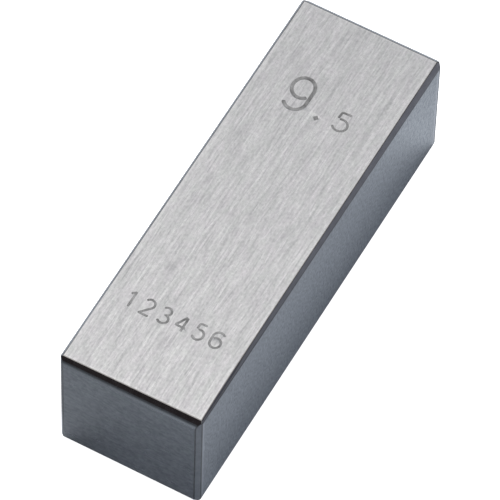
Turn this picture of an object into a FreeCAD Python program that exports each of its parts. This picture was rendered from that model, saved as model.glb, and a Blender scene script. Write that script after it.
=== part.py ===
"""Rectangular gauge block of hardened steel, made as one solid.

The block is ground all over, and its two measuring faces are lapped. It lies on a side face:
X runs through the gauge length, from one measuring face to the other, Y runs along the block
and Z points up. The origin is at the middle of the face that it rests on. Millimetres.
"""
import FreeCAD, Part
import os

# Driving dimensions.
gauge_length = 9.5        # between the two measuring faces, the size that the block stands for
face_length = 30.0        # nominal long side of a measuring face
face_height = 9.0         # nominal short side of a measuring face
section_allowance = 0.15  # how far both of those sides are ground under their nominal size

# Legs of the 45 degree bevels, one for each way that an edge can run.
long_edge_bevel = 0.22    # a measuring face with a side face, edges along Y
short_edge_bevel = 0.30   # a measuring face with an end face, edges along Z
cross_edge_bevel = 0.32   # a side face with an end face, edges along X

# Sizes that follow.
block_length = face_length - section_allowance
block_height = face_height - section_allowance

X_AXIS = FreeCAD.Vector(1, 0, 0)
Y_AXIS = FreeCAD.Vector(0, 1, 0)
Z_AXIS = FreeCAD.Vector(0, 0, 1)
BLOCK_CENTRE = Z_AXIS * (block_height / 2)


def bevelled_prism(run_axis, run, wide_axis, wide, tall_axis, tall, bevel):
    """Return a straight bar about the block's centre, run long, with its four edges bevelled.

    Its section is wide by tall, and each corner of the section is cut back by the bevel's leg.
    """
    half_wide = wide / 2
    half_tall = tall / 2
    quarter = [(half_wide, half_tall - bevel), (half_wide - bevel, half_tall)]
    corners = []
    for wide_sign, tall_sign in ((1, 1), (-1, 1), (-1, -1), (1, -1)):
        pair = [(wide_sign * w, tall_sign * t) for w, t in quarter]
        corners += pair if wide_sign == tall_sign else pair[::-1]
    start = BLOCK_CENTRE - run_axis * (run / 2)
    points = [start + wide_axis * w + tall_axis * t for w, t in corners]
    section = Part.Face(Part.makePolygon(points + points[:1]))
    return section.extrude(run_axis * run)


def gauge_block():
    """Return the block: what three bevelled bars, one along each axis, have in common.

    Each bar gives the four bevels that run its way. Where three bevels meet at a corner of the
    block they end in mitres, as they do when the edges are stoned one after another.
    """
    along_x = bevelled_prism(X_AXIS, gauge_length, Y_AXIS, block_length, Z_AXIS, block_height,
                             cross_edge_bevel)
    along_y = bevelled_prism(Y_AXIS, block_length, Z_AXIS, block_height, X_AXIS, gauge_length,
                             long_edge_bevel)
    along_z = bevelled_prism(Z_AXIS, block_height, X_AXIS, gauge_length, Y_AXIS, block_length,
                             short_edge_bevel)
    common = along_x.common(along_y).common(along_z).removeSplitter()
    return common.Solids[0]


def main():
    """Build the block, say what it measures and write it as a STEP file."""
    block = gauge_block()
    box = block.BoundBox
    print(f"gauge_block: {box.XLength:.3f} x {box.YLength:.3f} x {box.ZLength:.3f} mm, "
          f"{len(block.Faces)} faces, volume {block.Volume:.2f} mm3, valid {block.isValid()}")
    os.makedirs("parts", exist_ok=True)
    block.exportStep("parts/gauge_block.step")


main()
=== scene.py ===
"""Looks of a rectangular gauge block of hardened steel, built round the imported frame.

The block lies on a side face in a plain pale studio. X runs through the gauge length, Y along the
block and Z up. The solid comes from the frame; here its edges are softened, its size and a row of
plain figures are cut into the upper side face, and every face gets its finish: ground sides with the
grain along the block, ground ends with the grain across, lapped measuring faces, stoned bevels.
"""
import itertools
import logging
import math
from dataclasses import dataclass
from enum import Enum

import bmesh
import bpy
from mathutils import Matrix, Vector


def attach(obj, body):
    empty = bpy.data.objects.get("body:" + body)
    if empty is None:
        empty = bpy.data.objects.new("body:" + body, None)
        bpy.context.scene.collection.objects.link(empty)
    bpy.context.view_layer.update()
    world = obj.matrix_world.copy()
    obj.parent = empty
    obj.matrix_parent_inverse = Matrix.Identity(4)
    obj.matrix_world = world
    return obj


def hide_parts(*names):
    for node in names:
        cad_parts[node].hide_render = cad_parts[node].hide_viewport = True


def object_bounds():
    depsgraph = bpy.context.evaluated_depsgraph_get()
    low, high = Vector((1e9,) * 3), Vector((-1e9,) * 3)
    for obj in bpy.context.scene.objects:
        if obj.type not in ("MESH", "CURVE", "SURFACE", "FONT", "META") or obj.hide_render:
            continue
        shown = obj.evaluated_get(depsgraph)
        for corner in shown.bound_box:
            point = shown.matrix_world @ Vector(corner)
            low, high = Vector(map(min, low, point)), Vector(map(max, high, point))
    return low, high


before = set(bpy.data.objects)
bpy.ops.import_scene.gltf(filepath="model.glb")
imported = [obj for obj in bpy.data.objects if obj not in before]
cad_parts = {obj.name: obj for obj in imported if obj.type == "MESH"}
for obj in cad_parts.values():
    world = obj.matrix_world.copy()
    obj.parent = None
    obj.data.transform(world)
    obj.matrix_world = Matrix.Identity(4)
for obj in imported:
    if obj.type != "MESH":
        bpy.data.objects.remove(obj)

CAD_LOW, CAD_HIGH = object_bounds()

LOG = logging.getLogger("gauge_block_scene")
MM = 0.001
# The block's low and high corners in millimetres, and its middle and half sizes in metres.
LOW, HIGH = CAD_LOW / MM, CAD_HIGH / MM
MIDDLE, HALF = (CAD_LOW + CAD_HIGH) / 2, (CAD_HIGH - CAD_LOW) / 2
# A point this near to a face lies on it, and two points this near are one. Millimetres.
TOUCHING = 0.001
BLOCK_NODE = "gauge_block"
BLOCK_BODY = "root"

Point = tuple[float, float]
Triple = tuple[float, float, float]
Colour = Triple


class Grain(Enum):
    """The way that the grinding marks run on a face, as the index of the axis."""

    ACROSS = 0
    ALONG = 1


class Finish(Enum):
    """The finishes of the block, each with its place among the mesh's materials."""

    GROUND_SIDE = 0
    GROUND_END = 1
    LAPPED = 2
    STONED = 3
    ROUNDED_EDGE = 4
    ENGRAVED = 5


# --------------------------------------------------------------------------------------------
# Objects and nodes
# --------------------------------------------------------------------------------------------

def add_object(name: str, data: bpy.types.ID) -> bpy.types.Object:
    """Return a new object in the scene that holds the data."""
    made = bpy.data.objects.new(name, data)
    bpy.context.scene.collection.objects.link(made)
    return made


def mesh_object(name: str, body: bmesh.types.BMesh) -> bpy.types.Object:
    """Make an object with the mesh of a working body, and free the body.

    Args:
        name: Name of the object and of its mesh.
        body: The working body.

    Returns:
        The object.
    """
    mesh = bpy.data.meshes.new(name)
    body.to_mesh(mesh)
    body.free()
    return add_object(name, mesh)


class NodeGraph:
    """A node tree under construction, with short calls for the nodes that it often needs."""

    def __init__(self, tree: bpy.types.NodeTree) -> None:
        """Empty the tree.

        Args:
            tree: The node tree of a material, of the world or of a modifier.
        """
        self.tree = tree
        self.tree.nodes.clear()

    def node(self, kind: str, inputs: dict | None = None, **settings: object) -> bpy.types.Node:
        """Add a node.

        Args:
            kind: The node's type name.
            inputs: Values or sockets for its inputs, by name or index.
            settings: Values for the node's own properties.

        Returns:
            The new node.
        """
        made = self.tree.nodes.new(kind)
        for name, value in settings.items():
            setattr(made, name, value)
        for key, value in (inputs or {}).items():
            self.feed(made.inputs[key], value)
        return made

    def feed(self, socket: bpy.types.NodeSocket, value: object) -> None:
        """Link a socket to the input, or set the input's own value.

        Args:
            socket: The input.
            value: A number, a tuple or an output socket.
        """
        if isinstance(value, bpy.types.NodeSocket):
            self.tree.links.new(value, socket)
        else:
            socket.default_value = value

    def math(self, operation: str, first: object, second: object = 0.0, third: object = 0.0,
             clamp: bool = False) -> bpy.types.NodeSocket:
        """Add a Math node.

        Args:
            operation: What it works out.
            first: First number or socket.
            second: Second number or socket, where it has one.
            third: Third number or socket, where it has one.
            clamp: Whether to hold the result between 0 and 1.

        Returns:
            The result.
        """
        made = self.node("ShaderNodeMath", {0: first, 1: second, 2: third}, operation=operation,
                         use_clamp=clamp)
        return made.outputs[0]

    def place(self) -> bpy.types.NodeSocket:
        """Return the point on the piece, in metres."""
        return self.node("ShaderNodeTexCoord").outputs["Object"]

    def noise(self, vector: bpy.types.NodeSocket, size: Triple,
              detail: float = 2.0, roughness: float = 0.5,
              offset: Triple = (0.0, 0.0, 0.0)) -> bpy.types.NodeSocket:
        """Add noise with its own grain size along each axis.

        Args:
            vector: The point that it is read at, in metres.
            size: The size of one grain along each axis, in millimetres.
            detail: How many finer layers it has.
            roughness: How strong those layers are.
            offset: Shift of the pattern, in grains.

        Returns:
            The noise from 0 to 1, with a mean of a half.
        """
        scale = tuple(1.0 / (length * MM) for length in size)
        placed = self.node("ShaderNodeMapping", {
            "Vector": vector, "Scale": scale, "Location": offset})
        made = self.node("ShaderNodeTexNoise", {
            "Vector": placed.outputs[0], "Scale": 1.0, "Detail": detail, "Roughness": roughness})
        return made.outputs["Fac"]

    def remap(self, value: object, low: float, high: float, to_low: float, to_high: float,
              smooth: bool = False) -> bpy.types.NodeSocket:
        """Map a value from one range to another, held at the ends.

        Args:
            value: The number or socket to map.
            low: Start of its range.
            high: End of its range.
            to_low: What the start becomes.
            to_high: What the end becomes.
            smooth: Whether to ease in and out.

        Returns:
            The mapped value.
        """
        kind = "SMOOTHSTEP" if smooth else "LINEAR"
        made = self.node("ShaderNodeMapRange", {
            "Value": value, "From Min": low, "From Max": high, "To Min": to_low, "To Max": to_high,
        }, interpolation_type=kind)
        return made.outputs["Result"]

    def varied(self, value: bpy.types.NodeSocket, middle: float,
               swing: float) -> bpy.types.NodeSocket:
        """Return a number that follows noise, by up to the swing on each side of its middle."""
        return self.remap(value, 0.3, 0.7, middle - swing, middle + swing)

    def blend(self, factor: object, first: object, second: object) -> bpy.types.NodeSocket:
        """Mix two colours.

        Args:
            factor: Number or socket, 0 for the first colour and 1 for the second.
            first: A colour or a socket.
            second: A colour or a socket.

        Returns:
            The mixed colour.
        """
        made = self.node("ShaderNodeMix", data_type="RGBA")
        self.feed(made.inputs["Factor"], factor)
        for name, value in (("A", first), ("B", second)):
            socket = next(s for s in made.inputs if s.name == name and s.type == "RGBA")
            self.feed(socket, (*value, 1.0) if isinstance(value, tuple) else value)
        return next(s for s in made.outputs if s.type == "RGBA")

    def tinted(self, first: object, second: object) -> bpy.types.NodeSocket:
        """Return two colours multiplied."""
        made = self.node("ShaderNodeVectorMath", {0: first, 1: second}, operation="MULTIPLY")
        return made.outputs[0]

    def weighted(self, layers: list[tuple[float, bpy.types.NodeSocket]]) -> bpy.types.NodeSocket:
        """Add up layers of noise about a half.

        Args:
            layers: Weight and noise of each layer.

        Returns:
            A half plus each weight times how far its noise is from a half.
        """
        total: object = 0.5
        for weight, value in layers:
            centred = self.math("SUBTRACT", value, 0.5)
            total = self.math("MULTIPLY_ADD", centred, weight, total)
        return total

    def edge_distance(self, place: bpy.types.NodeSocket, axis: int) -> bpy.types.NodeSocket:
        """Measure how far a point is inside the block's two faces across an axis.

        Args:
            place: The point on the piece.
            axis: Index of the axis.

        Returns:
            The distance to the nearer of the two faces, in metres.
        """
        along = self.node("ShaderNodeSeparateXYZ", {0: place}).outputs[axis]
        from_middle = self.math("ABSOLUTE", self.math("SUBTRACT", along, MIDDLE[axis]))
        return self.math("SUBTRACT", HALF[axis], from_middle)

    def steel(self, colour: bpy.types.NodeSocket, roughness: bpy.types.NodeSocket,
              height: bpy.types.NodeSocket, strength: float, depth: float,
              metallic: float = 1.0) -> None:
        """Add the shader with its relief, and the output.

        Args:
            colour: Base colour.
            roughness: Roughness.
            height: Relief from 0 to 1.
            strength: How strongly the relief shows.
            depth: How deep the relief is, in millimetres.
            metallic: How metallic the surface is.
        """
        relief = self.node("ShaderNodeBump", {
            "Height": height, "Strength": strength, "Distance": depth * MM})
        shader = self.node("ShaderNodeBsdfPrincipled", {
            "Base Color": colour, "Roughness": roughness, "Metallic": metallic,
            "Normal": relief.outputs[0]})
        self.node("ShaderNodeOutputMaterial", {"Surface": shader.outputs[0]})


def new_material(name: str) -> tuple[bpy.types.Material, NodeGraph]:
    """Return a new material and the graph that fills it."""
    material = bpy.data.materials.new(name)
    material.use_nodes = True
    return material, NodeGraph(material.node_tree)


# --------------------------------------------------------------------------------------------
# Finishes
# --------------------------------------------------------------------------------------------

class SteelFinish:
    """A finish of the block, which fills a material with its own nodes."""

    name: str

    def material(self) -> bpy.types.Material:
        """Return a new material with this finish."""
        material, graph = new_material(self.name)
        self._fill(graph)
        return material

    def _fill(self, graph: NodeGraph) -> None:
        """Add the nodes of the finish to a material's graph."""
        raise NotImplementedError


@dataclass(frozen=True)
class GroundFinish(SteelFinish):
    """Surface-ground steel: short fine scratches that run one way, over a faint mottle."""

    name: str
    grain: Grain
    dark: Colour
    light: Colour
    roughness: float
    contrast: float = 1.0
    streak_width: float = 0.13
    streak_length: float = 1.7
    bump_height: float = 0.0012
    # Painted highlight: how much lighter the colour grows along the edges of the face.
    edge_highlight: float = 0.18
    speckle: float = 1.1
    speckle_size: float = 0.14
    bump_strength: float = 0.2
    roughness_swing: float = 0.07
    wander: float = 0.35
    wander_cell: Point = (1.1, 7.0)
    cloud_cell: Point = (2.6, 5.5)
    tint_cell: Point = (0.5, 0.9)
    tints: tuple[Colour, Colour] = ((1.0, 0.985, 1.0), (0.985, 1.0, 0.985))
    scratch_cell: Point = (0.10, 3.0)
    scratch_strength: float = 0.2
    # Painted highlight: the distances from the edge, in millimetres, over which it fades out.
    highlight_band: Point = (0.34, 0.55)
    flush: float = 0.02

    def _cell(self, across: float, along: float) -> Triple:
        """Return a noise cell whose long side lies along the grain, in millimetres."""
        size = [across, across, across]
        size[self.grain.value] = along
        return tuple(size)

    def _wandering(self, graph: NodeGraph) -> bpy.types.NodeSocket:
        """Shift the point on the piece, so that the scratches don't run quite straight.

        Args:
            graph: The material's graph.

        Returns:
            The shifted point.
        """
        place = graph.place()
        slow = graph.node("ShaderNodeMapping", {
            "Vector": place,
            "Scale": tuple(1.0 / (size * MM) for size in self._cell(*self.wander_cell))})
        drift = graph.node("ShaderNodeTexNoise", {"Vector": slow.outputs[0], "Scale": 1.0,
                                                  "Detail": 1.0})
        centred = graph.node("ShaderNodeVectorMath", {0: drift.outputs["Color"],
                                                      1: (0.5, 0.5, 0.5)}, operation="SUBTRACT")
        reach = [self.wander * MM] * 3
        reach[self.grain.value] = 0.0
        scaled = graph.node("ShaderNodeVectorMath", {0: centred.outputs[0], 1: tuple(reach)},
                            operation="MULTIPLY")
        moved = graph.node("ShaderNodeVectorMath", {0: place, 1: scaled.outputs[0]},
                           operation="ADD")
        return moved.outputs[0]

    def _painted_edge_highlight(self, graph: NodeGraph) -> bpy.types.NodeSocket:
        """Paint a highlight along the edges of a face: a lighter colour where the rolled-off edges
        catch more light.

        Args:
            graph: The material's graph.

        Returns:
            How much lighter it is.
        """
        place = graph.place()
        inside = graph.edge_distance(place, 0)
        for axis in (1, 2):
            other = graph.edge_distance(place, axis)
            # The face that the point lies on doesn't count, so its distance grows by a metre.
            on_face = graph.math("LESS_THAN", other, self.flush * MM)
            inside = graph.math("MINIMUM", inside, graph.math("ADD", other, on_face))
        start, end = self.highlight_band
        return graph.remap(inside, start * MM, end * MM, self.edge_highlight, 0.0, smooth=True)

    def _fill(self, graph: NodeGraph) -> None:
        """Add the nodes of the finish.

        Args:
            graph: The material's graph.
        """
        place = self._wandering(graph)
        width, length = self.streak_width, self.streak_length
        fine = graph.noise(place, self._cell(width, length), 3.0, 0.65)
        long = graph.noise(place, self._cell(1.4 * width, 3.2 * length), 1.0, 0.5, (7.0, 3.0, 1.0))
        spot = self.speckle_size
        mottle = graph.noise(place, self._cell(spot, 1.5 * spot), 2.0, 0.6, (2.0, 9.0, 4.0))
        cloud = graph.noise(place, self._cell(*self.cloud_cell), 1.0, 0.5, (5.0, 1.0, 8.0))
        shade = graph.weighted([
            (1.3 * self.contrast, fine), (0.5 * self.contrast, long),
            (self.speckle, mottle), (0.1 * self.contrast, cloud)])
        scratch = graph.noise(place, self._cell(*self.scratch_cell), 0.0, 0.0, (11.0, 6.0, 2.0))
        strength = self.scratch_strength * self.contrast
        bright = graph.remap(scratch, 0.66, 0.78, 0.0, strength)
        deep = graph.remap(scratch, 0.34, 0.22, 0.0, strength)
        shade = graph.math("ADD", shade, graph.math("SUBTRACT", bright, deep))
        # Painted highlight along the edges of the face.
        shade = graph.math("ADD", shade, self._painted_edge_highlight(graph), clamp=True)
        colour = graph.blend(shade, self.dark, self.light)
        tint = graph.noise(place, self._cell(*self.tint_cell), 2.0, 0.6, (4.0, 4.0, 9.0))
        tints = graph.blend(graph.remap(tint, 0.3, 0.7, 0.0, 1.0), *self.tints)
        colour = graph.tinted(colour, tints)
        rough = graph.remap(fine, 0.25, 0.75, self.roughness + self.roughness_swing,
                            self.roughness - self.roughness_swing)
        graph.steel(colour, rough, fine, self.bump_strength, self.bump_height)


@dataclass(frozen=True)
class LappedFinish(SteelFinish):
    """Lapped steel: smooth and close to a mirror, with a very fine grain and a faint haze."""

    name: str
    dark: Colour
    light: Colour
    # Painted highlight near the ends of the face: its colour here, then its strength and the band it
    # fades over.
    highlight_colour: Colour = (0.90, 0.90, 0.91)
    roughness: float = 0.24
    roughness_swing: float = 0.03
    bump_strength: float = 0.12
    bump_height: float = 0.0002
    edge_highlight: float = 0.9
    highlight_band: Point = (0.42, 0.66)
    # Painted shade: a dark line just inside the borders of the face, with its strength, colour and
    # band, and where the borders lie.
    rim: float = 0.75
    rim_colour: Colour = (0.10, 0.10, 0.10)
    rim_band: Point = (0.04, 0.11)
    flat_border: Point = (0.30, 0.22)

    def _fill(self, graph: NodeGraph) -> None:
        """Add the nodes of the finish.

        Args:
            graph: The material's graph.
        """
        place = graph.place()
        grain = graph.noise(place, (0.5, 0.5, 0.7), 3.0, 0.6)
        haze = graph.noise(place, (3.0, 4.5, 2.4), 2.0, 0.5, (4.0, 2.0, 6.0))
        speck = graph.noise(place, (0.19, 0.19, 0.22), 2.0, 0.6, (1.0, 5.0, 3.0))
        shade = graph.weighted([(0.5, grain), (0.25, haze), (2.8, speck)])
        # Painted highlight: a lighter colour near the ends of the face.
        inside = graph.edge_distance(place, 1)
        start, end = self.highlight_band
        edge_highlight = graph.remap(inside, start * MM, end * MM, self.edge_highlight, 0.0, smooth=True)
        colour = graph.blend(shade, self.dark, self.light)
        colour = graph.blend(edge_highlight, colour, self.highlight_colour)
        # Painted shade: a dark line just inside the borders of the face.
        above = graph.edge_distance(place, 2)
        end_border, side_border = self.flat_border
        to_rim = graph.math("MINIMUM", graph.math("SUBTRACT", inside, end_border * MM),
                            graph.math("SUBTRACT", above, side_border * MM))
        start, end = self.rim_band
        rim = graph.remap(to_rim, start * MM, end * MM, self.rim, 0.0)
        colour = graph.blend(rim, colour, self.rim_colour)
        rough = graph.varied(haze, self.roughness, self.roughness_swing)
        graph.steel(colour, rough, grain, self.bump_strength, self.bump_height)


@dataclass(frozen=True)
class StonedFinish(SteelFinish):
    """Bevels dressed by hand with an oilstone: a little uneven, with a short mottled grain."""

    name: str
    dark: Colour
    light: Colour
    roughness: float = 0.16
    roughness_swing: float = 0.03
    bump_strength: float = 0.1
    bump_height: float = 0.0004

    def _fill(self, graph: NodeGraph) -> None:
        """Add the nodes of the finish.

        Args:
            graph: The material's graph.
        """
        place = graph.place()
        patch = graph.noise(place, (0.45, 0.6, 0.5), 3.0, 0.6)
        fine = graph.noise(place, (0.12, 0.16, 0.12), 1.0, 0.5, (3.0, 3.0, 7.0))
        shade = graph.weighted([(1.2, patch), (0.6, fine)])
        colour = graph.blend(shade, self.dark, self.light)
        rough = graph.varied(patch, self.roughness, self.roughness_swing)
        graph.steel(colour, rough, patch, self.bump_strength, self.bump_height)


@dataclass(frozen=True)
class EngravedFinish(SteelFinish):
    """The floor of the cut figures: grey and matt, with darker spots where the cutter dwelt."""

    name: str
    dark: Colour
    light: Colour
    roughness: float = 0.55
    roughness_swing: float = 0.08
    bump_strength: float = 0.5
    bump_height: float = 0.003
    metallic: float = 0.75

    def _fill(self, graph: NodeGraph) -> None:
        """Add the nodes of the finish.

        Args:
            graph: The material's graph.
        """
        place = graph.place()
        dwell = graph.noise(place, (0.5, 0.55, 0.5), 2.0, 0.5)
        grit = graph.noise(place, (0.07, 0.09, 0.07), 2.0, 0.6, (6.0, 2.0, 2.0))
        shade = graph.weighted([(2.2, dwell), (0.9, grit)])
        colour = graph.blend(shade, self.dark, self.light)
        rough = graph.varied(grit, self.roughness, self.roughness_swing)
        graph.steel(colour, rough, grit, self.bump_strength, self.bump_height, self.metallic)


# --------------------------------------------------------------------------------------------
# Engraved figures
# --------------------------------------------------------------------------------------------

def arc(centre: Point, radii: Point, start: float, end: float, steps: int = 20) -> list[Point]:
    """Return points along a part of an ellipse.

    Args:
        centre: Its centre.
        radii: Its half width and half height.
        start: First angle, in degrees anticlockwise from the right.
        end: Last angle.
        steps: How many steps it takes.

    Returns:
        The points, both ends included.
    """
    angles = [math.radians(start + (end - start) * i / steps) for i in range(steps + 1)]
    return [(centre[0] + radii[0] * math.cos(a), centre[1] + radii[1] * math.sin(a))
            for a in angles]


class FigureShapes:
    """Centre lines of plain single-stroke figures, in a cell that is one wide and one high."""

    @staticmethod
    def nine() -> list[list[Point]]:
        """Return the strokes of a 9: a round loop and a curved tail in one stroke."""
        loop = arc((0.5, 0.69), (0.5, 0.31), -39.0, -360.0, 44)
        tail = arc((0.48, 0.307), (0.52, 0.307), 0.0, -152.0, 24)
        return [loop + tail]

    @classmethod
    def six(cls) -> list[list[Point]]:
        """Return the strokes of a 6, which is a 9 turned half round."""
        return [[(1.0 - x, 1.0 - y) for x, y in stroke] for stroke in cls.nine()]

    @staticmethod
    def five() -> list[list[Point]]:
        """Return the strokes of a 5: a bar that turns down, and a separate bowl."""
        bar = [(0.90, 1.0), (0.30, 0.985)] + arc((0.30, 0.88), (0.12, 0.105), 90.0, 180.0, 5)
        bowl = arc((0.5, 0.32), (0.5, 0.32), 122.0, -158.0, 30)
        return [bar + [(0.15, 0.60)], bowl]

    @staticmethod
    def four() -> list[list[Point]]:
        """Return the strokes of a 4."""
        return [[(0.66, 1.0), (0.02, 0.30), (1.0, 0.30)], [(0.72, 0.98), (0.72, 0.0)]]

    @staticmethod
    def three() -> list[list[Point]]:
        """Return the strokes of a 3: two bowls that meet in the middle."""
        upper = arc((0.47, 0.76), (0.41, 0.24), 155.0, -90.0, 20)
        lower = arc((0.47, 0.27), (0.49, 0.27), 90.0, -155.0, 22)
        return [upper + lower[1:]]

    @staticmethod
    def two() -> list[list[Point]]:
        """Return the strokes of a 2: an arch, a straight diagonal and a flat bar."""
        arch = arc((0.5, 0.71), (0.46, 0.29), 158.0, -28.0, 20)
        return [arch + [(0.02, 0.0), (1.0, 0.0)]]

    @staticmethod
    def one() -> list[list[Point]]:
        """Return the strokes of a 1: a stem with a short flag."""
        return [[(0.22, 0.80), (0.62, 1.0), (0.62, 0.0)]]

    @classmethod
    def of(cls, character: str) -> list[list[Point]]:
        """Find the strokes of one figure.

        Args:
            character: The figure, as text.

        Returns:
            Its strokes, each as a list of points.
        """
        shapes = {"1": cls.one, "2": cls.two, "3": cls.three, "4": cls.four, "5": cls.five,
                  "6": cls.six, "9": cls.nine}
        return shapes[character]()


@dataclass(frozen=True)
class EngravedFigure:
    """One figure cut into the upper side face. Millimetres, from the middle of the face."""

    character: str
    left: float
    foot: float
    width: float
    height: float

    def strokes(self) -> list[list[Point]]:
        """Return the centre lines of its strokes, in place."""
        return [[(self.left + x * self.width, self.foot + y * self.height) for x, y in stroke]
                for stroke in FigureShapes.of(self.character)]


@dataclass(frozen=True)
class PointPunch:
    """A square punch, held cornerwise, that leaves the decimal point. Millimetres."""

    name: str
    centre: Point
    half_diagonal: float
    depth: float
    blunt_part: float = 0.35

    def cutters(self, surface: float, finish: bpy.types.Material) -> bpy.types.Object:
        """Build what the punch takes away.

        Args:
            surface: Height of the face that it is struck into.
            finish: Finish of the dent.

        Returns:
            A scratch object in millimetres: an upside-down pyramid with a blunt tip.
        """
        over = self.depth
        tip = self.blunt_part * self.half_diagonal
        body = bmesh.new()
        bmesh.ops.create_cone(
            body, cap_ends=True, segments=4, radius1=tip, radius2=2 * self.half_diagonal - tip,
            depth=self.depth + over)
        lift = surface - self.depth + (self.depth + over) / 2
        bmesh.ops.translate(body, vec=(*self.centre, lift), verts=body.verts)
        obj = mesh_object(self.name, body)
        obj.data.materials.append(finish)
        return obj


@dataclass(frozen=True)
class StrokeCutter:
    """A round-nosed cutter that follows centre lines and leaves shallow grooves. Millimetres."""

    name: str
    width: float
    depth: float
    step: float = 0.03
    sides: int = 20
    smallest_taper: float = 0.04

    @property
    def radius(self) -> float:
        """Radius of the round section that is as wide as the groove at the surface."""
        return (self.width ** 2 / 4 + self.depth ** 2) / (2 * self.depth)

    @property
    def rise(self) -> float:
        """How high the section's centre runs over the surface."""
        return self.radius - self.depth

    def _tree(self) -> bpy.types.NodeTree:
        """Build the tree: lines to curves, a round section with a tapering nose, one mesh.

        Returns:
            The geometry node tree, with named inputs for its sizes.
        """
        tree = bpy.data.node_groups.new(self.name, "GeometryNodeTree")
        graph = NodeGraph(tree)
        sockets = {"Geometry": "Geometry", "Section Radius": "Float", "Step": "Float",
                   "Nose": "Float", "Sides": "Int", "Finish": "Material"}
        for name, kind in sockets.items():
            tree.interface.new_socket(name, in_out="INPUT", socket_type="NodeSocket" + kind)
        tree.interface.new_socket("Geometry", in_out="OUTPUT", socket_type="NodeSocketGeometry")
        given = graph.node("NodeGroupInput").outputs
        lines = graph.node("GeometryNodeMeshToCurve", {0: given["Geometry"]})
        even = graph.node("GeometryNodeResampleCurve", {
            "Curve": lines.outputs[0], "Length": given["Step"]}, mode="LENGTH")
        along = graph.node("GeometryNodeSplineParameter").outputs["Length"]
        whole = graph.node("GeometryNodeSplineLength").outputs["Length"]
        to_end = graph.math("MINIMUM", along, graph.math("SUBTRACT", whole, along))
        into_nose = graph.math("MINIMUM", graph.math("DIVIDE", to_end, given["Nose"]), 1.0)
        short = graph.math("SUBTRACT", 1.0, into_nose)
        round_nose = graph.math("SUBTRACT", 1.0, graph.math("MULTIPLY", short, short))
        taper = graph.math("MAXIMUM", graph.math("SQRT", round_nose), self.smallest_taper)
        ring = graph.node("GeometryNodeCurvePrimitiveCircle", {
            "Resolution": given["Sides"], "Radius": given["Section Radius"]})
        tube = graph.node("GeometryNodeCurveToMesh", {
            "Curve": even.outputs[0], "Profile Curve": ring.outputs[0], "Scale": taper,
            "Fill Caps": True})
        real = graph.node("GeometryNodeRealizeInstances", {0: tube.outputs[0]})
        dressed = graph.node("GeometryNodeSetMaterial", {
            "Geometry": real.outputs[0], "Material": given["Finish"]})
        graph.node("NodeGroupOutput", {0: dressed.outputs[0]})
        return tree

    def cutters(self, figures: list[EngravedFigure], surface: float,
                finish: bpy.types.Material) -> bpy.types.Object:
        """Build what the cutter takes away for these figures.

        Args:
            figures: The figures to cut.
            surface: Height of the face that they are cut into.
            finish: Finish of the grooves.

        Returns:
            A scratch object in millimetres, one closed tube for each stroke.
        """
        lines = bmesh.new()
        for figure in figures:
            for stroke in figure.strokes():
                verts = [lines.verts.new((x, y, surface + self.rise)) for x, y in stroke]
                for first, second in zip(verts, verts[1:]):
                    lines.edges.new((first, second))
        obj = mesh_object(self.name, lines)
        modifier = obj.modifiers.new(self.name, "NODES")
        modifier.node_group = self._tree()
        given = {"Section Radius": self.radius, "Step": self.step, "Nose": self.width / 2,
                 "Sides": self.sides, "Finish": finish}
        set_tree_inputs(modifier, given)
        made = evaluated_copy(obj, self.name + "_cut")
        bpy.data.objects.remove(obj)
        return made


def set_tree_inputs(modifier: bpy.types.Modifier, given: dict[str, object]) -> None:
    """Set a Geometry Nodes modifier's inputs by the identifiers of their sockets.

    Args:
        modifier: The modifier, with its tree.
        given: Value of each input, by the name that the tree gives it.
    """
    for item in modifier.node_group.interface.items_tree:
        if item.item_type == "SOCKET" and item.in_out == "INPUT" and item.name in given:
            modifier[item.identifier] = given[item.name]


def evaluated_copy(obj: bpy.types.Object, name: str) -> bpy.types.Object:
    """Return a new linked object with a plain mesh of what the modifiers make.

    Args:
        obj: The object with its modifiers.
        name: Name of the new object and its mesh.

    Returns:
        The new object.
    """
    bpy.context.view_layer.update()
    depsgraph = bpy.context.evaluated_depsgraph_get()
    mesh = bpy.data.meshes.new_from_object(obj.evaluated_get(depsgraph), depsgraph=depsgraph)
    mesh.name = name
    return add_object(name, mesh)


# --------------------------------------------------------------------------------------------
# The block
# --------------------------------------------------------------------------------------------

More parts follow.
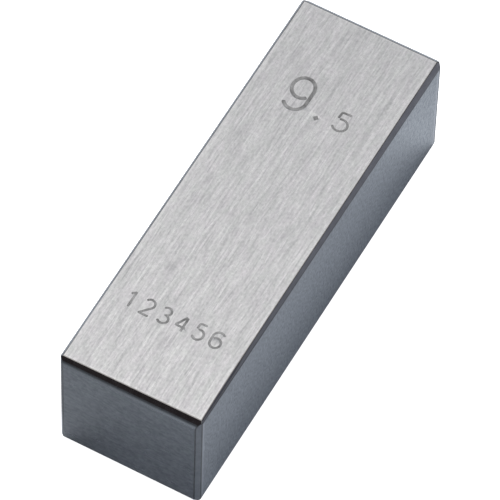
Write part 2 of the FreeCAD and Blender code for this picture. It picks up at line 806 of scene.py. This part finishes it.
@dataclass(frozen=True)
class GaugeBlock:
    """The block itself: the frame's solid with softened edges, engraved figures and finishes.

    Millimetres and degrees.
    """

    node: str = BLOCK_NODE
    name: str = "gauge_block_detailed"
    edge_round: float = 0.045
    round_segments: int = 3
    near_bevel_spread: Point = (-0.04, 0.06)
    near_bevel_drop: float = 0.10
    left_bevel_trim: float = 0.05
    far_bevel_trim: float = 0.10
    near_roll: float = 0.24
    roll_segments: int = 6
    right_bevel_reach: Point = (0.21, 0.64)
    right_bevel_trim: float = 0.03
    pinch_length: float = 1.6
    pinch_in: float = 0.08
    pinch_up: float = 0.03
    pinch_start: float = 0.3
    end_zone: float = 0.45
    side_zone: float = 0.25
    rounded_from: float = 12.0
    flat_below: float = 0.02
    sharp_from: float = 20.0
    weld: float = 0.0004
    sliver: float = 0.0002
    stations: tuple[float, ...] = (0.6, 1.0, 1.5, 2.1, 3.0, 4.2, 6.0, 9.0, 12.0, 15.0, 18.0, 21.0,
                                   24.0, 27.0)
    large_cutter: StrokeCutter = StrokeCutter("large_figure_cutter", 0.25, 0.035)
    small_cutter: StrokeCutter = StrokeCutter("small_figure_cutter", 0.155, 0.025)
    punch: PointPunch = PointPunch("point_punch", (0.17, 7.37), 0.21, 0.05)

    def size_mark(self) -> list[EngravedFigure]:
        """Return the large figure of the block's size, which stands before the point."""
        return [EngravedFigure("9", -2.21, 7.22, 1.39, 2.46)]

    def small_marks(self) -> list[EngravedFigure]:
        """Return the smaller figures: the size's decimal and the row at the near end."""
        row_left, pitch = -3.40, 1.155
        row = [EngravedFigure(text, row_left + i * pitch, -9.86, 0.68, 1.13)
               for i, text in enumerate("123456")]
        return [EngravedFigure("5", 1.20, 7.20, 0.94, 1.36), *row]

    def _softened_solid(self) -> bmesh.types.BMesh:
        """Copy the frame's solid, merge it, bend its bevels and round its edges a little.

        Returns:
            The solid in millimetres.
        """
        solid = bmesh.new()
        solid.from_mesh(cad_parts[self.node].data)
        bmesh.ops.scale(solid, vec=(1 / MM,) * 3, verts=solid.verts)
        bmesh.ops.remove_doubles(solid, verts=solid.verts, dist=TOUCHING)
        bmesh.ops.dissolve_limit(solid, angle_limit=math.radians(1.0), verts=solid.verts,
                                 edges=solid.edges)
        bmesh.ops.recalc_face_normals(solid, faces=solid.faces)
        LOG.info("%s: %d faces before rounding", self.name, len(solid.faces))
        self._cut_into_lengths(solid)
        self._move_borders(solid)
        self._taper_right_bevel(solid)
        for corner in itertools.product((0, 1), repeat=3):
            self._mitre_corner(solid, corner)
        self._roll_near_border(solid)
        limit = math.radians(self.rounded_from)
        sharp = [edge for edge in solid.edges if edge.calc_face_angle() > limit]
        bmesh.ops.bevel(solid, geom=sharp, offset=self.edge_round, offset_type="OFFSET",
                        segments=self.round_segments, profile=0.5, affect="EDGES",
                        clamp_overlap=True)
        bmesh.ops.dissolve_limit(solid, angle_limit=math.radians(self.flat_below),
                                 verts=solid.verts, edges=solid.edges)
        shortest = min(edge.calc_length() for edge in solid.edges)
        LOG.info("%s: shortest edge after rounding %.4f mm", self.name, shortest)
        return solid

    def _cut_into_lengths(self, solid: bmesh.types.BMesh) -> None:
        """Cut every long face across at the stations, so that the upper right bevel can bend.

        Args:
            solid: The solid, in millimetres.
        """
        for station in self.stations:
            bmesh.ops.bisect_plane(
                solid, geom=[*solid.verts, *solid.edges, *solid.faces], dist=0.0001,
                plane_co=Vector((0, LOW.y + station, 0)), plane_no=Vector((0, 1, 0)))

    def _move_borders(self, solid: bmesh.types.BMesh) -> None:
        """Move the borders of three bevels, which hand work leaves a little uneven.

        The upper near bevel runs wider and lower, mostly towards the right. The far right and
        the upper left bevel are narrower than the others.

        Args:
            solid: The solid, in millimetres.
        """
        left, right = self.near_bevel_spread
        for vert in solid.verts:
            on_top = vert.co.z > HIGH.z - TOUCHING
            if on_top and vert.co.y < LOW.y + self.end_zone:
                vert.co.y += right if vert.co.x > 0.0 else left
            on_end = vert.co.y < LOW.y + TOUCHING
            if on_end and vert.co.z > HIGH.z - self.end_zone:
                vert.co.z -= self.near_bevel_drop
            on_right = vert.co.x > HIGH.x - TOUCHING
            if on_right and vert.co.y > HIGH.y - self.end_zone:
                vert.co.y += self.far_bevel_trim
            if on_top and vert.co.x < LOW.x + self.side_zone:
                vert.co.x -= self.left_bevel_trim
            on_left = vert.co.x < LOW.x + TOUCHING
            if on_left and vert.co.z > HIGH.z - self.side_zone:
                vert.co.z += self.left_bevel_trim

    def _taper_right_bevel(self, solid: bmesh.types.BMesh) -> None:
        """Bend the upper right bevel: thin at the near corner, deeper towards the far end.

        Args:
            solid: The solid, in millimetres.
        """
        on_face = [v for v in solid.verts if v.co.x > HIGH.x - TOUCHING]
        on_top = [v for v in solid.verts if v.co.z > HIGH.z - TOUCHING]
        border_z = max(v.co.z for v in on_face)
        border_x = max(v.co.x for v in on_top)
        near, far = self.right_bevel_reach
        for vert in on_face + on_top:
            distance = vert.co.y - LOW.y
            pinch = math.exp(-max(distance - self.pinch_start, 0.0) / self.pinch_length)
            if vert.co.z > HIGH.z - TOUCHING and vert.co.x > border_x - TOUCHING:
                vert.co.x += self.right_bevel_trim + self.pinch_in * pinch
            elif vert.co.x > HIGH.x - TOUCHING and vert.co.z > border_z - TOUCHING:
                reach = near + (far - near) * distance / (HIGH.y - LOW.y)
                vert.co.z = HIGH.z - reach + self.pinch_up * pinch

    @staticmethod
    def _mitre_corner(solid: bmesh.types.BMesh, corner: tuple[int, int, int]) -> None:
        """Move the point where three bevels meet to where their moved planes cross.

        Args:
            solid: The solid, in millimetres.
            corner: For each axis, 0 for the block's low side and 1 for its high side.
        """
        outer = Vector([(LOW, HIGH)[side][axis] for axis, side in enumerate(corner)])
        near = sorted(solid.verts, key=lambda v: (v.co - outer).length)[:12]
        inward = {v: [abs(v.co[axis] - outer[axis]) for axis in range(3)] for v in near}
        meeting = next(v for v in near if min(inward[v]) > TOUCHING)
        rows = []
        for axis in range(3):
            # The flat face across this axis ends in the point that the other two bevels share.
            on_face = next(v for v in near if inward[v][axis] < TOUCHING)
            rows.append(inward[on_face])
        in_x, in_y, in_z = rows
        planes = Matrix(((0.0, 1 / in_z[1], 1 / in_y[2]), (1 / in_z[0], 0.0, 1 / in_x[2]),
                         (1 / in_y[0], 1 / in_x[1], 0.0)))
        depth = planes.inverted() @ Vector((1.0, 1.0, 1.0))
        for axis, side in enumerate(corner):
            meeting.co[axis] = outer[axis] + depth[axis] * (1 - 2 * side)

    def _roll_near_border(self, solid: bmesh.types.BMesh) -> None:
        """Roll the border between the upper near bevel and the end face.

        Args:
            solid: The solid, in millimetres.
        """
        middle = (LOW.z + HIGH.z) / 2
        border = [e for e in solid.edges
                  if all(v.co.y < LOW.y + TOUCHING and v.co.z > middle for v in e.verts)
                  and abs(e.verts[0].co.z - e.verts[1].co.z) < TOUCHING]
        bmesh.ops.bevel(solid, geom=border, offset=self.near_roll, offset_type="OFFSET",
                        segments=self.roll_segments, profile=0.5, affect="EDGES",
                        clamp_overlap=True)

    def build(self, finishes: dict[Finish, bpy.types.Material]) -> bpy.types.Object:
        """Build the whole piece.

        Args:
            finishes: Material of each finish.

        Returns:
            The finished object, in metres, riding on the frame.
        """
        solid = self._softened_solid()
        top = max(v.co.z for v in solid.verts)
        self._choose_finishes(solid)
        blank = mesh_object(self.name + "_blank", solid)
        for finish in Finish:
            blank.data.materials.append(finishes[finish])
        groove = finishes[Finish.ENGRAVED]
        cuts = [self.large_cutter.cutters(self.size_mark(), top, groove),
                self.small_cutter.cutters(self.small_marks(), top, groove),
                self.punch.cutters(top, groove)]
        for cut in cuts:
            modifier = blank.modifiers.new(cut.name, "BOOLEAN")
            modifier.operation, modifier.solver = "DIFFERENCE", "EXACT"
            modifier.material_mode, modifier.use_self = "TRANSFER", True
            modifier.object = cut
        cut_block = evaluated_copy(blank, self.name)
        for scratch in (*cuts, blank):
            bpy.data.objects.remove(scratch)
        self._finish_mesh(cut_block.data)
        block = evaluated_copy(self._weighted(cut_block), self.name + "_done")
        bpy.data.objects.remove(cut_block)
        block.name = block.data.name = self.name
        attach(block, BLOCK_BODY)
        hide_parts(self.node)
        LOG.info("%s: %d faces, %d materials", block.name, len(block.data.polygons),
                 len(block.data.materials))
        return block

    @staticmethod
    def _choose_finishes(solid: bmesh.types.BMesh) -> None:
        """Give each face of the solid the finish that its direction and width call for.

        Args:
            solid: The solid, in millimetres.
        """
        flat, narrow = 0.9999, 0.035
        for face in solid.faces:
            direction = [abs(part) for part in face.normal]
            if direction[2] > flat:
                face.material_index = Finish.GROUND_SIDE.value
            elif direction[1] > flat:
                face.material_index = Finish.GROUND_END.value
            elif direction[0] > flat:
                face.material_index = Finish.LAPPED.value
            else:
                width = face.calc_area() / max(edge.calc_length() for edge in face.edges)
                kind = Finish.ROUNDED_EDGE if width < narrow else Finish.STONED
                face.material_index = kind.value

    def _finish_mesh(self, mesh: bpy.types.Mesh) -> None:
        """Clean the cut mesh, bring it to metres, set its sharp edges and unwrap it.

        Args:
            mesh: The mesh that the cutters left, in millimetres.
        """
        body = bmesh.new()
        body.from_mesh(mesh)
        bmesh.ops.remove_doubles(body, verts=body.verts, dist=self.weld)
        bmesh.ops.dissolve_degenerate(body, edges=body.edges, dist=self.sliver)
        bmesh.ops.scale(body, vec=(MM,) * 3, verts=body.verts)
        self._unwrap(body)
        for face in body.faces:
            face.smooth = True
        body.to_mesh(mesh)
        body.free()
        mesh.set_sharp_from_angle(angle=math.radians(self.sharp_from))

    @staticmethod
    def _weighted(obj: bpy.types.Object) -> bpy.types.Object:
        """Return the object with a modifier that keeps its large faces flat in shading."""
        modifier = obj.modifiers.new("flat_faces", "WEIGHTED_NORMAL")
        modifier.mode, modifier.weight, modifier.keep_sharp = "FACE_AREA", 100, True
        return obj

    @staticmethod
    def _unwrap(body: bmesh.types.BMesh) -> None:
        """Lay the six sides out flat, each at one scale, with the bevels beside the sides.

        Args:
            body: The mesh, in metres.
        """
        layer = body.loops.layers.uv.new("OFBake")
        size = CAD_HIGH - CAD_LOW
        gap = 0.6 * MM
        columns = [gap]
        for width in (size.x, size.x, size.z, size.z):
            columns.append(columns[-1] + width + gap)
        upper_row = size.y + 2 * gap
        span = max(columns[-1], upper_row + size.z + gap)
        # Corner of each side's place, and the axes that run along the sheet and up it.
        places = {
            (2, 1): (columns[0], gap, 0, 1), (2, -1): (columns[1], gap, 0, 1),
            (0, 1): (columns[2], gap, 2, 1), (0, -1): (columns[3], gap, 2, 1),
            (1, 1): (columns[0], upper_row, 0, 2), (1, -1): (columns[1], upper_row, 0, 2)}
        for face in body.faces:
            weights = (abs(face.normal.x), abs(face.normal.y) * 1.01, abs(face.normal.z) * 1.02)
            axis = weights.index(max(weights))
            left, foot, along, up = places[axis, 1 if face.normal[axis] > 0 else -1]
            for loop in face.loops:
                place = loop.vert.co - CAD_LOW
                loop[layer].uv = ((left + place[along]) / span, (foot + place[up]) / span)


# --------------------------------------------------------------------------------------------
# The studio
# --------------------------------------------------------------------------------------------

@dataclass(frozen=True)
class DarkCorner:
    """A dark part of the studio, seen only as a reflection or as less light from there."""

    towards: Triple
    inner_angle: float
    outer_angle: float
    colour: Colour


@dataclass(frozen=True)
class PaintedTableLight:
    """A patch of painted shade or painted light on the reflected table: a darker or lighter grey,
    fading in along one or two directions.

    Each ramp is a direction on the table and the distances from the middle, in millimetres,
    at which the shade starts and is full.
    """

    colour: Colour
    ramps: tuple[tuple[Point, float, float], ...]


@dataclass(frozen=True)
class CameraStand:
    """Where the camera stands. Millimetres and degrees."""

    azimuth: float = 27.40
    elevation: float = 56.76
    roll: float = -1.98
    distance: float = 369.23
    target: Triple = (0.0, -0.25, 4.425)
    lens: float = 444.44
    sensor: float = 36.0

    def build(self) -> bpy.types.Object:
        """Make the camera and set it as the scene's own.

        Returns:
            The camera.
        """
        turn, lift, roll = (math.radians(a) for a in (self.azimuth, self.elevation, self.roll))
        back = Vector((math.sin(turn) * math.cos(lift), -math.cos(turn) * math.cos(lift),
                       math.sin(lift)))
        level_right = (-back).cross(Vector((0, 0, 1))).normalized()
        level_down = (-back).cross(level_right)
        right = math.cos(roll) * level_right + math.sin(roll) * level_down
        down = -math.sin(roll) * level_right + math.cos(roll) * level_down
        data = bpy.data.cameras.new("studio_camera")
        data.lens, data.sensor_width, data.sensor_fit = self.lens, self.sensor, "HORIZONTAL"
        data.clip_start, data.clip_end = 0.01, 20.0
        camera = add_object("studio_camera", data)
        place = Matrix((right, -down, back)).transposed().to_4x4()
        place.translation = (Vector(self.target) + back * self.distance) * MM
        camera.matrix_world = place
        bpy.context.scene.camera = camera
        return camera


@dataclass(frozen=True)
class Studio:
    """A plain pale floor and soft light from all round, brightest overhead."""

    floor_half: float = 3.0
    floor_drop: float = 0.004
    low_light: Colour = (0.36, 0.40, 0.46)
    high_light: Colour = (0.40, 0.42, 0.46)
    high_from: float = 0.75
    corners: tuple[DarkCorner, ...] = (
        DarkCorner((-0.252, -0.836, 0.487), 24.0, 46.0, (0.024, 0.0195, 0.021)),
        DarkCorner((0.836, 0.487, 0.252), 16.0, 34.0, (0.085, 0.088, 0.118)),
    )
    table_colour: Colour = (0.60, 0.645, 0.70)
    # Painted shade and light on the reflected table: darker where the block's shadow and the dark
    # surroundings fall, lighter far behind.
    painted_table_light: tuple[PaintedTableLight, ...] = (
        PaintedTableLight((0.80, 0.75, 0.705), (((0, 1), 19.0, 25.0),)),
        PaintedTableLight((0.62, 0.595, 0.57), (((-1, 0), 15.0, 28.0),)),
        PaintedTableLight((0.48, 0.515, 0.56), (((-1, 0), -7.0, -4.9), ((0, 1), -14.0, -11.0))),
        PaintedTableLight((0.46, 0.495, 0.54), (((0, 1), 9.0, 20.0), ((1, 0), 3.5, 7.0))),
        PaintedTableLight((0.43, 0.47, 0.52), (((0, -1), 12.9, 15.9),)),
        PaintedTableLight((0.34, 0.37, 0.41), (((0, -1), 14.0, 16.5), ((1, 0), 5.0, 8.0))),
        PaintedTableLight((0.33, 0.365, 0.405), (((0, -1), 15.8, 19.0),)),
        PaintedTableLight((0.26, 0.285, 0.315), (((0, -1), 14.2, 15.8), ((-1, 0), -1.0, 6.0))),
        PaintedTableLight((0.22, 0.235, 0.26), (((-1, 0), 4.8, 6.5), ((0, -1), 5.0, 10.0),
                                         ((0, 1), -16.5, -15.0))),
        PaintedTableLight((0.21, 0.215, 0.245), (((1, 0), 6.25, 15.75),)),
        PaintedTableLight((0.10, 0.11, 0.12), (((0, -1), 24.0, 50.0),)),
        PaintedTableLight((0.16, 0.16, 0.16), (((0, 1), 22.0, 34.0), ((1, 0), 3.0, 9.0))),
    )
    key_towards: Triple = (-0.30, 0.45, 0.84)
    key_distance: float = 250.0
    key_size: float = 220.0
    key_power: float = 0.46
    key_colour: Colour = (1.0, 0.985, 0.96)
    box_height: float = 160.0
    box_size: Point = (420.0, 420.0)
    box_centre: Point = (0.0, 60.0)
    box_bright: Colour = (1.21, 1.19, 1.19)
    box_dim: Colour = (0.675, 0.675, 0.69)
    box_fade: Point = (45.0, 135.0)
    gap_centre: Point = (114.0, -66.0)
    gap_fade: Point = (45.0, 85.0)
    gap_colour: Colour = (0.10, 0.10, 0.11)

    def build(self) -> None:
        """Set up the world, the floor, the overhead light and the camera."""
        bpy.context.scene.view_settings.view_transform = "Standard"
        self._world()
        self._floor()
        self._reflected_table()
        self._overhead()
        self._key_light()
        CameraStand().build()

    def _world(self) -> None:
        """Light the studio from all round, darker where its dark corners are."""
        world = bpy.data.worlds.new("studio_surround")
        world.use_nodes = True
        bpy.context.scene.world = world
        graph = NodeGraph(world.node_tree)
        towards = graph.node("ShaderNodeTexCoord").outputs["Generated"]
        height = graph.node("ShaderNodeSeparateXYZ", {0: towards}).outputs[2]
        colour = graph.blend(graph.remap(height, 0.0, self.high_from, 0.0, 1.0, smooth=True),
                             self.low_light, self.high_light)
        for corner in self.corners:
            axis = Vector(corner.towards).normalized()
            dot = graph.node("ShaderNodeVectorMath", {0: towards, 1: tuple(axis)},
                             operation="DOT_PRODUCT").outputs["Value"]
            inside = graph.remap(dot, math.cos(math.radians(corner.outer_angle)),
                                 math.cos(math.radians(corner.inner_angle)), 0.0, 1.0, smooth=True)
            colour = graph.blend(inside, colour, corner.colour)
        background = graph.node("ShaderNodeBackground", {"Color": colour, "Strength": 1.0})
        graph.node("ShaderNodeOutputWorld", {"Surface": background.outputs[0]})

    def _plane(self, name: str, half: Point, height: float, centre: Point = (0.0, 0.0),
               faces_down: bool = False) -> bpy.types.Object:
        """Add a flat stage piece.

        Args:
            name: Its name.
            half: Its half sizes, in metres.
            height: Its height, in metres.
            centre: Its centre, in metres.
            faces_down: Whether its front is below.

        Returns:
            The object.
        """
        corners = [(-1, -1), (1, -1), (1, 1), (-1, 1)]
        if faces_down:
            corners.reverse()
        points = [(centre[0] + x * half[0], centre[1] + y * half[1], height) for x, y in corners]
        mesh = bpy.data.meshes.new(name)
        mesh.from_pydata(points, [], [(0, 1, 2, 3)])
        obj = add_object(name, mesh)
        return obj

    def _floor(self) -> None:
        """Add the pale floor, which the steel doesn't mirror."""
        floor = self._plane("studio_floor", (self.floor_half,) * 2, -self.floor_drop * MM)
        floor.visible_glossy = floor.visible_diffuse = floor.visible_shadow = False
        material, graph = new_material("pale_floor")
        matt = graph.node("ShaderNodeBsdfDiffuse", {"Color": (0.9, 0.9, 0.9, 1.0)})
        glow = graph.node("ShaderNodeEmission", {"Color": (1.0, 1.0, 1.0, 1.0), "Strength": 1.0})
        both = graph.node("ShaderNodeAddShader", {0: matt.outputs[0], 1: glow.outputs[0]})
        graph.node("ShaderNodeOutputMaterial", {"Surface": both.outputs[0]})
        floor.data.materials.append(material)

    def _reflected_table(self) -> None:
        """Add the darker table that the steel mirrors in place of the floor, with painted shade and
        light on it.
        """
        table = self._plane("reflected_table", (self.floor_half,) * 2, -self.floor_drop * MM)
        table.visible_camera = table.visible_diffuse = table.visible_shadow = False
        material, graph = new_material("grey_table")
        parts = graph.node("ShaderNodeSeparateXYZ", {0: graph.place()})
        colour = self.table_colour
        # Painted shade and light, one patch after another.
        for shade in self.painted_table_light:
            amount = 1.0
            for direction, start, full in shade.ramps:
                sideways = graph.math("MULTIPLY", parts.outputs[0], float(direction[0]))
                along = graph.math("MULTIPLY_ADD", parts.outputs[1], float(direction[1]), sideways)
                ramp = graph.remap(along, start * MM, full * MM, 0.0, 1.0, smooth=True)
                amount = graph.math("MULTIPLY", amount, ramp)
            colour = graph.blend(amount, colour, shade.colour)
        matt = graph.node("ShaderNodeBsdfDiffuse", {"Color": colour})
        graph.node("ShaderNodeOutputMaterial", {"Surface": matt.outputs[0]})
        table.data.materials.append(material)

    def _key_light(self) -> None:
        """Add the soft main light, high behind the block's left corner."""
        data = bpy.data.lights.new("key_light", "AREA")
        data.shape, data.size, data.energy = "DISK", self.key_size * MM, self.key_power
        data.color = self.key_colour
        light = add_object("key_light", data)
        towards = Vector(self.key_towards).normalized()
        light.location = towards * self.key_distance * MM
        light.rotation_mode = "QUATERNION"
        light.rotation_quaternion = towards.to_track_quat("Z", "Y")
        light.visible_camera = light.visible_glossy = False

    def _overhead(self) -> None:
        """Add the overhead light box that the upper side face mirrors, dark in one place."""
        half = (self.box_size[0] / 2 * MM, self.box_size[1] / 2 * MM)
        centre = (self.box_centre[0] * MM, self.box_centre[1] * MM)
        box = self._plane("overhead_light", half, self.box_height * MM, centre, True)
        box.visible_camera = box.visible_diffuse = box.visible_shadow = False
        material, graph = new_material("light_box")
        parts = graph.node("ShaderNodeSeparateXYZ", {0: graph.place()})
        start, end = self.box_fade
        along = graph.remap(parts.outputs[1], start * MM, end * MM, 1.0, 0.0)
        colour = graph.blend(along, self.box_dim, self.box_bright)
        gap = (*(part * MM for part in self.gap_centre), self.box_height * MM)
        from_gap = graph.node("ShaderNodeVectorMath", {0: graph.place(), 1: gap},
                              operation="DISTANCE").outputs["Value"]
        start, end = self.gap_fade
        in_gap = graph.remap(from_gap, start * MM, end * MM, 1.0, 0.0, smooth=True)
        colour = graph.blend(in_gap, colour, self.gap_colour)
        glow = graph.node("ShaderNodeEmission", {"Color": colour, "Strength": 1.0})
        graph.node("ShaderNodeOutputMaterial", {"Surface": glow.outputs[0]})
        box.data.materials.append(material)


def steel_finishes() -> dict[Finish, bpy.types.Material]:
    """Return the material of each finish of the block."""
    side = GroundFinish("ground_side_steel", Grain.ALONG, (0.44, 0.445, 0.45),
                        (0.76, 0.76, 0.76), 0.30)
    end = GroundFinish("ground_end_steel", Grain.ACROSS, (0.50, 0.50, 0.51), (0.70, 0.70, 0.70),
                       0.32, contrast=0.6, streak_width=0.14, edge_highlight=0.0, speckle=2.2,
                       speckle_size=0.2)
    return {
        Finish.GROUND_SIDE: side.material(),
        Finish.GROUND_END: end.material(),
        Finish.LAPPED: LappedFinish("lapped_steel", (0.42, 0.43, 0.45),
                                    (0.80, 0.81, 0.82)).material(),
        Finish.STONED: StonedFinish("stoned_steel", (0.48, 0.48, 0.49),
                                    (0.70, 0.70, 0.70)).material(),
        Finish.ROUNDED_EDGE: StonedFinish("rounded_edge_steel", (0.24, 0.235, 0.23),
                                          (0.38, 0.37, 0.36)).material(),
        Finish.ENGRAVED: EngravedFinish("engraved_steel", (0.17, 0.17, 0.17),
                                        (0.42, 0.42, 0.42)).material(),
    }


def main() -> None:
    """Build the block, then the studio round it."""
    logging.basicConfig(level=logging.INFO, format="%(message)s")
    GaugeBlock().build(steel_finishes())
    Studio().build()


if __name__ == "__main__":
    main()
